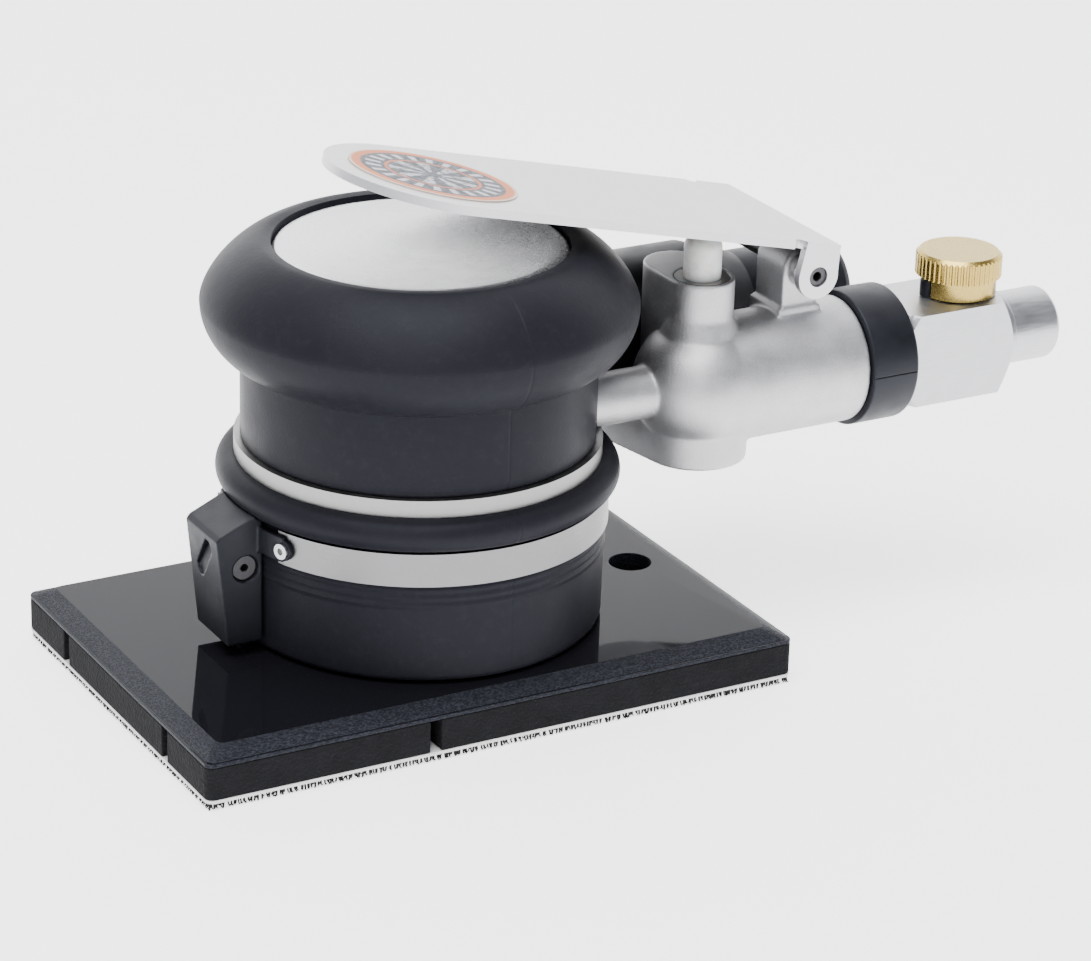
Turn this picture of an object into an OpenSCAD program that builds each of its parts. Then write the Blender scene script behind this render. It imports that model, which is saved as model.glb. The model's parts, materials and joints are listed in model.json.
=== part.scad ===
// Palm orbital sander driven by compressed air.
// Millimetres, +Z up, origin on the motor axis at the bottom of the hook face.
// +X runs from the motor body towards the air inlet.

/* [Sanding pad] */
// Length of the pad, along X
pad_length = 110; // [100:1:120]
// Width of the pad, along Y
pad_width = 75; // [70:1:85]
// Corner radius of the pad
pad_corner = 1.5; // [1:0.5:4]
// Thickness of the hook layer
hook_t = 1.2; // [0.8:0.1:1.4]
// Top of the white backing that carries the hooks
backing_top = 1.8; // [1.6:0.1:2]
// Top of the foam
foam_top = 7.5; // [6.5:0.5:7.5]
// Top of the steel plate
plate_top = 9.9; // [9.5:0.1:10]
// Width of the bevel round the plate
plate_bevel = 3.5; // [2:0.5:5]
// Width and depth of the relief notches in the foam
notch_w = 2; // [1:0.5:3]
// Radius of the round hole in the plate
plate_hole_r = 3.75; // [2:0.25:5]
// Place of that hole, from the pad's centre
plate_hole_x = 44.3; // [40:0.1:48]
// Distance between the motor axis and the pad's centre: half the orbit
orbit = 1.5; // [1:0.25:1.5]

/* [Body] */
// Outer radius of the motor housing, under the grip
housing_r = 27.2; // [27:0.1:27.4]
// Radius of the housing's bore
bore_r = 24; // [23.8:0.1:24.2]
// Outer radius of the housing's metal flange ring
flange_r = 31.3; // [30.8:0.1:32]
// Outer radius of the rubber skirt
skirt_r = 32; // [31.5:0.1:32.2]
// Lowest point of the skirt
skirt_z = 10.5; // [10.4:0.1:11]
// Height where the skirt meets the bumper ring
skirt_top = 33.8; // [33.8:0.1:34]
// Outer radius of the clamp band
band_r = 32.65; // [32.6:0.05:32.7]
// Radius of the lower, straight part of the grip
grip_low_r = 30.2; // [29.5:0.1:31]
// Radius of the rounded rim of the grip, in section
grip_rim_r = 10.3; // [10:0.1:10.5]
// Distance of that rounded rim's centre from the motor axis
grip_rim_at = 26.6; // [26:0.1:27]
// Height of that rounded rim's centre
grip_rim_z = 66.3; // [66:0.1:66.5]
// Radius of the metal top cap
cap_r = 24.9; // [24:0.1:24.9]
// Height of the top cap
cap_top = 76.3; // [76:0.1:76.5]

/* [Valve and handle] */
// Distance of the throttle pin from the motor axis
valve_x = 49; // [48:0.5:51]
// Sideways place of the air line, to the operator's left
line_y = -10; // [-10.5:0.1:-9.8]
// Height of the air line's axis
line_z = 46.6; // [46.2:0.1:47]
// Radius of the handle barrel
barrel_r = 11.2; // [11:0.1:11.4]
// Where the barrel ends and the black collar starts
barrel_end = 77.6; // [77:0.2:79]
// Length of the black collar
collar_w = 9.5; // [8:0.5:10]
// Radius of the black collar
collar_r = 12.1; // [11.8:0.1:12.5]
// Width across the flats of the regulator block
block_w = 17; // [16:0.5:18]
// Length of the regulator block
block_l = 22.5; // [22:0.5:25]
// Radius of the inlet's male thread, R 1/4
inlet_r = 6.58; // [6.58:0.01:6.6]
// Length of the inlet's thread
inlet_l = 9.5; // [8:0.5:12]
// Radius of the throttle pin
pin_r = 3.3; // [3.2:0.05:3.3]
// Radius of the regulator knob
knob_r = 7.7; // [7.5:0.1:8.2]
// Flutes round the knob
knob_flutes = 48; // [36:2:60]
// Place of the knob, along X
knob_x = 102.6; // [102:0.2:103]
// Radius of the exhaust duct on the far side, next to the motor
duct_r = 12.3; // [11.5:0.1:12.3]
// Radius of the duct's outer end
duct_tip_r = 9; // [8:0.5:9]
// Sideways place of the exhaust duct
duct_y = 13.9; // [13.9:0.1:14.5]
// Height of the exhaust duct
duct_z = 50.6; // [50:0.1:50.6]
// Far end of the exhaust duct
duct_end = 90.5; // [85:0.5:94]

/* [Lever] */
// Place of the lever's pivot, along X
pivot_x = 67.2; // [66.8:0.2:68]
// Height of the pivot
pivot_z = 65.8; // [65.6:0.1:66]
// Slope of the lever at rest, in degrees
lever_tilt = 13.3; // [13:0.1:13.8]
// Half the width of the lever, and the radius of its round end
lever_half_w = 18.5; // [18:0.1:19]
// Thickness of the lever's sheet
lever_t = 1.5; // [1.2:0.1:1.5]
// Height of the sheet above the pivot
lever_lift = 4.46; // [4.4:0.02:4.6]
// Distance from the pivot to the centre of the round end
lever_reach = 68.4; // [67:0.1:70]
// Radius of the round badge
badge_r = 14.4; // [13:0.1:15]
// Radius of the pivot pin
pivot_r = 1.75; // [1.5:0.05:1.75]

/* [Motor] */
// Radius of the rotor
rotor_r = 17; // [16.5:0.1:17]
// Radius of the liner's off-centre bore
liner_bore_r = 20; // [20:0.1:20.2]
// Radius of the shaft and of its eccentric end
shaft_r = 6; // [6:0.1:6.2]
// Number of vanes
vane_count = 5; // [4:1:6]

/* [Hidden] */
$fn = 96;

seat_gap = 0.02;                 // between faces that are assembled tight
run_gap = 0.05;                  // radial, between a shaft and its plain bearing
over = 1;                        // how far a cutter runs past the face it cuts
pad_x = -orbit;                  // pad centre at rest

spigot_r = 29;                   // the skirt and bumper sit on this
spigot_bottom = 27;
flange_z = [39.5, 42.5];
housing_z = [30, 72];
bumper_at = 31.6;                // centre of the bumper's round section
bumper_section = 2.82;
bumper_z = 36.65;
band_z = [27.8, 33.6];
band_t = 0.6;
band_gap_deg = 18;               // the band stops this far either side of -X
rivet_deg = 21;
block_half = 6.2;                // half width of the clamp block
screw_at = [-35.1, 25.8];        // x and z of the clamp screw

lock_z = [30, 34];
low_plate_z = [34, 42];
liner_z = [42, 64];
top_plate_z = [64, 71];
liner_shift = liner_bore_r - rotor_r - 0.1;
eccentric_z = [14.6, 26];
holder_flange_z = 13.6;
holder_z = [15, 25];
pad_screw_at = 20.8;
dowel_at = [0, -22];

bush_r = 4.8;
bush_z = [52, 60];
wiper_z = [62.4, 66];
seal_z = 61.2;
seal_wire = 0.7;
chamber_bore_r = 6.2;
chamber_z = [36.2, 50];
seat_z = [44, 46.5];
boss_z = 33.5;
boss_r = 9;
lobe_shift = [-2.5, 14];         // from the throttle pin to the casting's rear lobe
pin_boss_r = 5.7;
pin_boss_back = 8.6;             // the boss round the pin is this much longer towards +Y
poppet_z = [40.9, 43.9];
spring_z = [36.3, 40.8];
spring_r = 3.1;
spring_wire = 0.42;
spring_turns = 3;
line_bore_r = 3.5;
pocket_r = 8.6;
pocket_x = 70;
neck_r = 4.6;
neck_x = 23.7;
pin_dome_z = 71.2;
duct_taper = [60, 70];
duct_wall = 2;
lug_y = [line_y - 3, line_y + 6];
lug_r = 3.5;
lug_foot_z = 58.7;
knuckle_r = 2.9;                 // round spacer between the lug and the near ear
knuckle_y = line_y - 5.4;
ear_r = 3.95;
lever_end = 3.1;                 // the sheet ends this far past the pivot
pin_foot_z = 52.6;

block_x = barrel_end + collar_w + 0.3;
block_end = block_x + block_l;
spigot_l = 3.2;                  // of the nipple, inside the block
knob_base_z = line_z + block_w / 2 + 0.3;
knob_head_z = [58.7, 63];
knob_base_r = 6.9;
knob_spindle_r = 3.5;
stop_deg = 176;
stop_at = 6;
stop_r = 1.5;
stop_room = 17;                  // half angle kept free round the stop screw
knob_turn = 90;

// ---- shared shapes --------------------------------------------------------

module zcyl(r, z0, z1, x = 0, y = 0) {
    translate([x, y, z0]) cylinder(r = r, h = z1 - z0);
}

module xcyl(r, x0, x1, y = line_y, z = line_z) {
    translate([x0, y, z]) rotate([0, 90, 0]) cylinder(r = r, h = x1 - x0);
}

module ycyl(r, y0, y1, x, z) {
    translate([x, y0, z]) rotate([-90, 0, 0]) cylinder(r = r, h = y1 - y0);
}

module zring(ro, ri, z0, z1, x = 0, y = 0) {
    difference() {
        zcyl(ro, z0, z1, x, y);
        zcyl(ri, z0 - over, z1 + over, x, y);
    }
}

module torus(at, section, z, x = 0, y = 0) {
    translate([x, y, z]) rotate_extrude() translate([at, 0]) circle(r = section, $fn = 48);
}

// A ring sector from angle a0 to a1
module sector(ro, ri, z0, z1, a0, a1) {
    translate([0, 0, z0]) rotate([0, 0, a0]) rotate_extrude(angle = a1 - a0)
        translate([ri, 0]) square([ro - ri, z1 - z0]);
}

module pad_outline(inset = 0) {
    l = pad_length - 2 * inset;
    w = pad_width - 2 * inset;
    square([l - 2 * pad_corner, w], center = true);
    square([l, w - 2 * pad_corner], center = true);
    for (sx = [-1, 1], sy = [-1, 1])
        translate([sx * (l / 2 - pad_corner), sy * (w / 2 - pad_corner)]) circle(r = pad_corner);
}

module pad_slab(z0, z1, inset = 0) {
    translate([pad_x, 0, z0]) linear_extrude(z1 - z0) pad_outline(inset);
}

// Places its children in the lever's own frame: pivot at the origin, sheet level
module lever_frame() {
    translate([pivot_x, 0, pivot_z]) rotate([0, lever_tilt, 0]) children();
}

// Outer ring of a ball bearing with its balls
module outer_race(ro, ri, race_r, z0, z1, balls, x = 0) {
    ball_r = (ri - race_r) / 2 - run_gap;
    zring(ro - seat_gap, ri, z0, z1, x);
    for (i = [0 : balls - 1])
        translate([x, 0, (z0 + z1) / 2]) rotate([0, 0, 360 * i / balls])
            translate([(ri + race_r) / 2, 0, 0]) sphere(r = ball_r, $fn = 32);
}

// ---- housing --------------------------------------------------------------

module motor_housing() {
    color("gray") difference() {
        union() {
            zcyl(housing_r, housing_z[0], housing_z[1]);
            zcyl(spigot_r, spigot_bottom, flange_z[0]);
            zcyl(flange_r, flange_z[0], flange_z[1]);
            xcyl(duct_r - duct_wall - run_gap, 15, 33, duct_y, duct_z);
        }
        zcyl(bore_r, spigot_bottom - over, housing_z[1] + over);
        zcyl(spigot_r - 2.5, spigot_bottom - over, housing_z[0]);
        xcyl(neck_r + seat_gap, neck_x - 0.1, 40);
        xcyl(2.3, 15, 40, line_y, line_z + 1);
        xcyl(duct_r - 4.2, 15, 40, duct_y, duct_z);
    }
}

module top_cap() {
    edge = 0.8;
    color("lightgray") {
        zcyl(bore_r - seat_gap, top_plate_z[1] + 0.2, housing_z[1] + 0.5);
        zcyl(cap_r, housing_z[1] + seat_gap, cap_top - edge);
        translate([0, 0, cap_top - edge]) cylinder(r1 = cap_r, r2 = cap_r - edge, h = edge);
    }
}

module rubber_grip() {
    slope = 28;                  // a shallow cone flattens the rim's shoulder
    shave = 0.9;
    cone_r = 50;
    cone_h = cone_r * tan(slope);
    cone_top = (grip_rim_r - shave + grip_rim_at * sin(slope)) / cos(slope) + grip_rim_z;
    color("dimgray") difference() {
        union() {
            torus(grip_rim_at, grip_rim_r, grip_rim_z);
            zcyl(grip_low_r, flange_z[1] + seat_gap, grip_rim_z - 2);
        }
        difference() {
            zcyl(cone_r - 1, cone_top - cone_h + 1, cone_top);
            translate([0, 0, cone_top - cone_h]) cylinder(r1 = cone_r, r2 = 0, h = cone_h);
        }
        zcyl(housing_r + seat_gap, flange_z[1] - over, housing_z[1] + seat_gap);
        zcyl(cap_r + 0.1, flange_z[1] - over, 90);
        xcyl(neck_r + 0.1, neck_x, 45);
        xcyl(duct_r + 0.1, 10, 45, duct_y, duct_z);
    }
}

module bumper_ring() {
    color("dimgray") difference() {
        union() {
            torus(bumper_at, bumper_section, bumper_z);
            zcyl(bumper_at, skirt_top + seat_gap, flange_z[0] - seat_gap);
        }
        zcyl(spigot_r + seat_gap, skirt_top - over, flange_z[0] + over);
    }
}

module skirt() {
    ridge = 0.3;
    color("dimgray") {
        zring(skirt_r, spigot_r + seat_gap, skirt_z, skirt_top);
        for (z = [band_z[0] - 1.2, band_z[0] - 2.9, skirt_z + 2])
            zring(skirt_r + ridge, skirt_r - over, z - 0.5, z + 0.5);
    }
}

module clamp_band() {
    color("silver") difference() {
        sector(band_r, band_r - band_t, band_z[0], band_z[1], band_gap_deg - 180, 180 - band_gap_deg);
        for (s = [-1, 1]) rivet_shape(s, 1.02);
    }
}

module rivet_shape(side, r) {
    z = (band_z[0] + band_z[1]) / 2;
    rotate([0, 0, side * (180 - rivet_deg)]) xcyl(r, band_r - band_t - 0.02, band_r + 1.25, 0, z);
}

module clamp_block() {
    tab_t = 0.85;
    color("dimgray") difference() {
        union() {
            translate([0, block_half, 0]) rotate([90, 0, 0]) linear_extrude(2 * block_half)
                polygon([[-38.4, 12.3], [-40.4, 31.4], [-39.7, 32.2], [-33.6, 34.9], [-31, 34.9], [-31, 12.3]]);
            sector(band_r + seat_gap + tab_t, band_r + seat_gap, band_z[0] + 0.8, band_z[1] - 0.6,
                   180 - rivet_deg, 180 + rivet_deg);
            for (s = [-1, 1]) rotate([0, 0, s * (180 - rivet_deg)])
                xcyl(1.8, band_r, band_r + seat_gap + tab_t, 0, (band_z[0] + band_z[1]) / 2);
        }
        zcyl(band_r + seat_gap, 11, skirt_top);
        torus(bumper_at, bumper_section + 0.05, bumper_z);
        zcyl(bumper_at + 0.05, skirt_top - over, flange_z[1]);
        for (s = [-1, 1]) rivet_shape(s, 1.02);
        ycyl(1.42, -8, 8, screw_at[0], screw_at[1]);
        for (s = [-1, 1]) translate([0, s * block_half, 0]) ycyl(2.3, -1.6, 1.6, screw_at[0], screw_at[1]);
        // slanting oval recess on the outer face
        translate([-40.2, 0, 26.5]) rotate([38, 0, 0]) {
            xcyl(1.3, -1, 1.2, 0, 3.2);
            xcyl(1.3, -1, 1.2, 0, -3.2);
            translate([-1, -1.3, -3.2]) cube([2.2, 2.6, 6.4]);
        }
    }
}

module band_rivets() {
    z = (band_z[0] + band_z[1]) / 2;
    color("silver") for (s = [-1, 1]) difference() {
        union() {
            rivet_shape(s, 1);
            rotate([0, 0, s * (180 - rivet_deg)]) xcyl(1.35, band_r + 0.92, band_r + 1.4, 0, z);
        }
        rotate([0, 0, s * (180 - rivet_deg)]) xcyl(0.6, band_r + 0.6, band_r + 2, 0, z);
    }
}

module clamp_screw() {
    head = [0.8 - block_half, 1.58 - block_half];
    color("dimgray") difference() {
        union() {
            ycyl(1.4, head[0], -head[0], screw_at[0], screw_at[1]);
            ycyl(2.1, head[0], head[1], screw_at[0], screw_at[1]);
            ycyl(2.1, -head[1], -head[0], screw_at[0], screw_at[1], $fn = 6);
        }
        ycyl(0.8, head[0] - over, head[1] + over, screw_at[0], screw_at[1], $fn = 6);
    }
}

// ---- air motor ------------------------------------------------------------

module cylinder_liner() {
    color("lightgray") difference() {
        zcyl(bore_r - seat_gap, liner_z[0] + seat_gap, liner_z[1] - seat_gap);
        zcyl(liner_bore_r, liner_z[0] - over, liner_z[1] + over, 0, liner_shift);
        xcyl(2.3, 0, 30, line_y, line_z + 1);
        for (z = [-4, 4]) xcyl(2.4, 0, 30, duct_y, duct_z + z);
        zcyl(1.02, liner_z[0] - over, liner_z[1] + over, dowel_at[0], dowel_at[1]);
    }
}

module liner_dowel() {
    color("silver") zcyl(1, liner_z[0] + 2, top_plate_z[1] - 1, dowel_at[0], dowel_at[1]);
}

module lower_end_plate() {
    color("gray") difference() {
        zcyl(bore_r - seat_gap, low_plate_z[0] + seat_gap, low_plate_z[1]);
        zcyl(14, low_plate_z[0] - over, low_plate_z[1] - 1);
        zcyl(shaft_r + 1.5, low_plate_z[0] - over, low_plate_z[1] + over);
    }
}

module upper_end_plate() {
    color("gray") difference() {
        zcyl(bore_r - seat_gap, top_plate_z[0], top_plate_z[1]);
        zcyl(12, top_plate_z[0] + 1, top_plate_z[1] + over);
        zcyl(shaft_r + 1.5, top_plate_z[0] - over, top_plate_z[1] + over);
        zcyl(1.02, top_plate_z[0] - over, top_plate_z[1] - 0.9, dowel_at[0], dowel_at[1]);
    }
}

module lower_bearing() {
    color("silver") outer_race(14, 11.3, 8.7, low_plate_z[0] + 0.1, low_plate_z[1] - 1.1, 9);
}

module upper_bearing() {
    color("silver") outer_race(12, 10.4, 8, top_plate_z[0] + 1.1, top_plate_z[1] - 0.1, 9);
}

module lock_ring() {
    slots = 4;
    color("gray") difference() {
        zring(bore_r - seat_gap, 19.5, lock_z[0], lock_z[1]);
        for (i = [0 : slots - 1]) rotate([0, 0, 45 + 360 * i / slots])
            translate([18, -1.5, lock_z[0] - over]) cube([4, 3, 2.5]);
    }
}

module eccentric_shaft() {
    web_z = [26.2, 28];
    color("silver") {
        difference() {
            zcyl(shaft_r, web_z[1], top_plate_z[1] - 0.2);
            translate([shaft_r - 1.5, -1.52, liner_z[0] + 2]) cube([3, 3.04, liner_z[1] - liner_z[0] - 4]);
        }
        zcyl(8.5, web_z[0], web_z[1]);
        zcyl(shaft_r, eccentric_z[0] + 0.2, web_z[0], -orbit);
    }
}

module rotor() {
    slot_depth = 8;
    color("gray") difference() {
        zcyl(rotor_r, liner_z[0] + 0.3, liner_z[1] - 0.3);
        zcyl(shaft_r + seat_gap, liner_z[0] - over, liner_z[1] + over);
        translate([shaft_r - 1, -1.52, liner_z[0]]) cube([3, 3.04, liner_z[1] - liner_z[0]]);
        for (i = [0 : vane_count - 1]) rotate([0, 0, 36 + 360 * i / vane_count])
            translate([rotor_r - slot_depth, -1, liner_z[0]]) cube([slot_depth + over, 2, liner_z[1]]);
    }
}

module vanes() {
    color("tan") for (i = [0 : vane_count - 1]) rotate([0, 0, 36 + 360 * i / vane_count])
        translate([rotor_r - 7.7, -0.95, liner_z[0] + 0.4]) cube([7.6, 1.9, liner_z[1] - liner_z[0] - 0.8]);
}

module rotor_key() {
    color("silver") translate([shaft_r - 1.45, -1.5, liner_z[0] + 2.1])
        cube([3.35, 3, liner_z[1] - liner_z[0] - 4.2]);
}

module counterweight() {
    z0 = 28.1;
    z1 = 33;
    color("gray") difference() {
        union() {
            zcyl(9.5, z0, z1);
            intersection() {
                zcyl(18, z0, z1);
                translate([1, -20, z0]) cube([20, 40, z1 - z0]);
            }
        }
        zcyl(shaft_r + seat_gap, z0 - over, z1 + over);
        zcyl(1.8, z0 - over, z1 + over, 13);
    }
}

module lower_inner_race() {
    color("silver") zring(8.7, shaft_r + 0.01, low_plate_z[0] + 0.1, low_plate_z[1] - 1.1);
}

module upper_inner_race() {
    color("silver") zring(8, shaft_r + 0.01, top_plate_z[0] + 1.1, top_plate_z[1] - 0.3);
}

module pad_inner_race() {
    color("silver") zring(9.6, shaft_r + 0.01, holder_z[0] + 0.1, holder_z[1] - 0.1, -orbit);
}

// ---- sanding pad ----------------------------------------------------------

module pad_bearing() {
    color("silver") outer_race(16, 13, 9.6, holder_z[0] + 0.1, holder_z[1] - 0.1, 8, pad_x);
}

module at_pad_screws() {
    for (a = [45 : 90 : 315]) translate([pad_x, 0, 0]) rotate([0, 0, a]) translate([pad_screw_at, 0, 0])
        children();
}

module pad_holder() {
    color("gray") difference() {
        union() {
            zcyl(24, plate_top + seat_gap, holder_flange_z, pad_x);
            zcyl(17.8, plate_top + seat_gap, holder_z[1], pad_x);
        }
        zcyl(16, holder_z[0], holder_z[1] + over, pad_x);
        zcyl(10.5, holder_flange_z, holder_z[0] + over, pad_x);
        at_pad_screws() zcyl(2.02, plate_top - over, holder_flange_z + over);
    }
}

module pad_screws() {
    color("silver") at_pad_screws() {
        zcyl(2, foam_top + 0.1, holder_flange_z + 0.5);
        difference() {
            zcyl(2.9, holder_flange_z + seat_gap, holder_flange_z + 2.2);
            zcyl(1.5, holder_flange_z + 0.9, holder_flange_z + 3, $fn = 6);
        }
    }
}

module pad_plate() {
    ledge = 0.7;
    lip = 0.5;
    color("black") difference() {
        union() {
            pad_slab(foam_top, foam_top + ledge);
            hull() {
                pad_slab(foam_top + ledge - 0.01, foam_top + ledge, lip, $fn = 24);
                pad_slab(plate_top - 0.01, plate_top, plate_bevel, $fn = 24);
            }
        }
        zcyl(plate_hole_r, foam_top - over, plate_top + over, pad_x + plate_hole_x);
        at_pad_screws() zcyl(2.02, foam_top - over, plate_top + over);
    }
}

module foam_pad() {
    depth = 4;
    side_notch_y = 20.5;
    edge_notch_x = -15.5;
    tall = foam_top - backing_top + 2 * over;
    color("dimgray") difference() {
        pad_slab(backing_top, foam_top);
        for (s = [-1, 1]) {
            translate([edge_notch_x - notch_w / 2, s * pad_width / 2 - depth, backing_top - over])
                cube([notch_w, 2 * depth, tall]);
            translate([pad_x - pad_length / 2 - depth, s * side_notch_y - notch_w / 2, backing_top - over])
                cube([2 * depth, notch_w, tall]);
        }
        zcyl(plate_hole_r, foam_top - 3, foam_top + over, pad_x + plate_hole_x);
    }
}

module hook_backing() {
    color("white") pad_slab(hook_t, backing_top);
}

module hook_pile() {
    color("dimgray") pad_slab(0, hook_t, 0.3);
}

// ---- throttle valve and air line ------------------------------------------

// Two equal round columns and the block between them, a hair narrower than they are
module stadium(r, z0, z1, from, shift) {
    span = norm(shift);
    translate([from[0], from[1], z0]) rotate([0, 0, atan2(shift[1], shift[0])])
        linear_extrude(z1 - z0) union() {
            circle(r = r);
            translate([span, 0]) circle(r = r);
            translate([0, -r]) square([span, 2 * r]);
        }
}

module valve_body() {
    dome_r = barrel_r + 0.3;
    foot_half = 4.2;
    foot_over = 0.4;
    flare = 1.5;
    color("silver") difference() {
        union() {
            xcyl(barrel_r, valve_x, barrel_end);
            translate([valve_x, line_y, line_z]) sphere(r = dome_r);
            stadium(boss_r, boss_z, line_z - 3, [valve_x, line_y], lobe_shift);
            stadium(pin_boss_r, line_z - 3, wiper_z[1], [valve_x, line_y], [0, pin_boss_back]);
            translate([valve_x, line_y, line_z + barrel_r - 2 * flare])
                cylinder(r1 = pin_boss_r + flare, r2 = pin_boss_r - 0.15, h = 3.3 * flare);
            xcyl(neck_r, neck_x, valve_x);
            // pivot lug on its foot
            translate([pivot_x - lug_r, lug_y[0], line_z]) cube([2 * lug_r, lug_y[1] - lug_y[0], pivot_z - line_z]);
            ycyl(lug_r, lug_y[0], lug_y[1], pivot_x, pivot_z);
            ycyl(knuckle_r, knuckle_y, lug_y[0] + over, pivot_x, pivot_z);
            translate([pivot_x - foot_half, lug_y[0] - foot_over, line_z])
                cube([2 * foot_half, lug_y[1] - lug_y[0] + 2 * foot_over, lug_foot_z - line_z]);
        }
        zcyl(bush_r, chamber_z[1] - over, 70, valve_x, line_y);
        zcyl(chamber_bore_r, chamber_z[0] - over, chamber_z[1], valve_x, line_y);
        zcyl(chamber_bore_r + 0.4, boss_z - over, chamber_z[0], valve_x, line_y);
        xcyl(2.3, neck_x - over, valve_x, line_y, line_z + 1);
        xcyl(3, valve_x, pocket_x + over, line_y, line_z - 6.4);
        xcyl(pocket_r, pocket_x, barrel_end + over);
        ycyl(pivot_r, knuckle_y - over, lug_y[1] + over, pivot_x, pivot_z);
        // saddle for the exhaust duct
        xcyl(duct_r + 0.1, 20, duct_end, duct_y, duct_z);
    }
}

module guide_bush() {
    color("tan") {
        zring(bush_r - seat_gap, pin_r + run_gap, bush_z[0], bush_z[1], valve_x, line_y);
        zring(bush_r - seat_gap, pin_r + run_gap, wiper_z[0], wiper_z[1], valve_x, line_y);
    }
}

module pin_seal() {
    color("black") torus(pin_r + run_gap + seal_wire, seal_wire, seal_z, valve_x, line_y);
}

module valve_seat() {
    color("gold") zring(chamber_bore_r - seat_gap, 2.9, seat_z[0], seat_z[1], valve_x, line_y);
}

module valve_plug() {
    color("gold") difference() {
        union() {
            zcyl(chamber_bore_r + 0.38, boss_z + 0.2, chamber_z[0] - seat_gap, valve_x, line_y);
            zcyl(2.2, chamber_z[0] - over, spring_z[0] + 1, valve_x, line_y);
        }
        translate([valve_x, line_y, boss_z - over]) cylinder(r = 2.9, h = over + 1.8, $fn = 6);
    }
}

// Points of a wire wound round Z, one ring of the wire's section at each step
spring_steps = 14;
spring_sides = 8;
function spring_ring(i) = let (
    turn = 360 * i / spring_steps,
    rise = (spring_z[1] - spring_z[0] - 2 * spring_wire) * i / (spring_turns * spring_steps)
) [for (j = [0 : spring_sides - 1]) let (a = 360 * j / spring_sides, r = spring_r + spring_wire * cos(a))
    [r * cos(turn), r * sin(turn), spring_z[0] + spring_wire + rise + spring_wire * sin(a)]];

module valve_spring() {
    last = spring_turns * spring_steps;
    points = [for (i = [0 : last]) each spring_ring(i)];
    sides = [for (i = [0 : last - 1], j = [0 : spring_sides - 1]) let (k = (j + 1) % spring_sides)
        [i * spring_sides + j, i * spring_sides + k, (i + 1) * spring_sides + k, (i + 1) * spring_sides + j]];
    caps = [[for (j = [spring_sides - 1 : -1 : 0]) j], [for (j = [0 : spring_sides - 1]) last * spring_sides + j]];
    color("silver") translate([valve_x, line_y, 0]) polyhedron(points, concat(sides, caps));
}

module inlet_collar() {
    color("dimgray") difference() {
        xcyl(collar_r, barrel_end + 0.15, barrel_end + collar_w);
        xcyl(pocket_r, barrel_end - over, barrel_end + collar_w + over);
    }
}

module regulator_block() {
    chamfer = 3;
    corner_r = block_w / 2 * sqrt(2);
    color("lightgray") difference() {
        union() {
            intersection() {
                translate([block_x, line_y - block_w / 2, line_z - block_w / 2]) cube([block_l, block_w, block_w]);
                translate([block_x, line_y, line_z]) rotate([0, 90, 0]) union() {
                    cylinder(r1 = corner_r - chamfer + 1, r2 = corner_r, h = chamfer - 1);
                    translate([0, 0, chamfer - 1]) cylinder(r = corner_r + 0.1, h = block_l - 2 * chamfer + 1);
                    translate([0, 0, block_l - chamfer]) cylinder(r1 = corner_r, r2 = block_w / 2 - 0.4, h = chamfer);
                }
            }
            xcyl(pocket_r - seat_gap, pocket_x + 2.5, block_x + over);
        }
        xcyl(line_bore_r, pocket_x, block_end);
        xcyl(5, block_end - spigot_l - 0.1, block_end + over);
        zcyl(knob_spindle_r + run_gap, line_z - 5.6, 60, knob_x, line_y);
        stop_shank(1.02);
    }
}

module stop_shank(r) {
    translate([knob_x, line_y, 0]) rotate([0, 0, stop_deg]) zcyl(r, line_z + 4.5, 57, stop_at);
}

module stop_screw() {
    top = line_z + block_w / 2;
    color("black") {
        intersection() {
            stop_shank(1);
            zcyl(30, line_z, top + 0.5, knob_x, line_y);
        }
        translate([knob_x, line_y, 0]) rotate([0, 0, stop_deg]) zcyl(stop_r, top + seat_gap, knob_head_z[0] - 0.4, stop_at);
    }
}

module inlet_nipple() {
    shoulder = 1.5;
    chamfer = 0.8;
    thread_end = block_end + shoulder + inlet_l;
    color("lightgray") difference() {
        union() {
            xcyl(5 - seat_gap, block_end - spigot_l, block_end + over);
            xcyl(7.3, block_end + seat_gap, block_end + shoulder);
            xcyl(inlet_r, block_end + shoulder, thread_end);
            translate([thread_end, line_y, line_z]) rotate([0, 90, 0])
                cylinder(r1 = inlet_r, r2 = inlet_r - chamfer, h = chamfer);
        }
        xcyl(line_bore_r, block_end - 6, thread_end + 2);
    }
}

module inlet_strainer() {
    holes = 6;
    color("silver") difference() {
        xcyl(pocket_r - seat_gap, pocket_x + 0.2, pocket_x + 2.3);
        xcyl(1.6, pocket_x - over, pocket_x + 4);
        for (i = [0 : holes - 1]) let (a = 360 * i / holes)
            xcyl(1.5, pocket_x - over, pocket_x + 4, line_y + 4.8 * cos(a), line_z + 4.8 * sin(a));
    }
}

// The duct's outline: a wide part, a taper and a narrower tip
module duct_shape(thinner, x0, x1) {
    wide = duct_r - thinner;
    tip = duct_tip_r - thinner;
    xcyl(wide, x0, duct_taper[0], duct_y, duct_z);
    translate([duct_taper[0], duct_y, duct_z]) rotate([0, 90, 0])
        cylinder(r1 = wide, r2 = tip, h = duct_taper[1] - duct_taper[0]);
    xcyl(tip, duct_taper[1], x1, duct_y, duct_z);
}

module exhaust_duct() {
    edge = 1.2;
    color("dimgray") difference() {
        union() {
            duct_shape(0, 12, duct_end - edge);
            translate([duct_end - edge, duct_y, duct_z]) rotate([0, 90, 0])
                cylinder(r1 = duct_tip_r, r2 = duct_tip_r - edge / 2, h = edge);
        }
        duct_shape(duct_wall, 10, duct_end + over);
        zcyl(housing_r + seat_gap, 30, 80);
        zcyl(flange_r + seat_gap, 30, flange_z[1] + seat_gap);
        zcyl(bumper_at + bumper_section + 0.1, 30, flange_z[0] + 0.1);
    }
}

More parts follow.
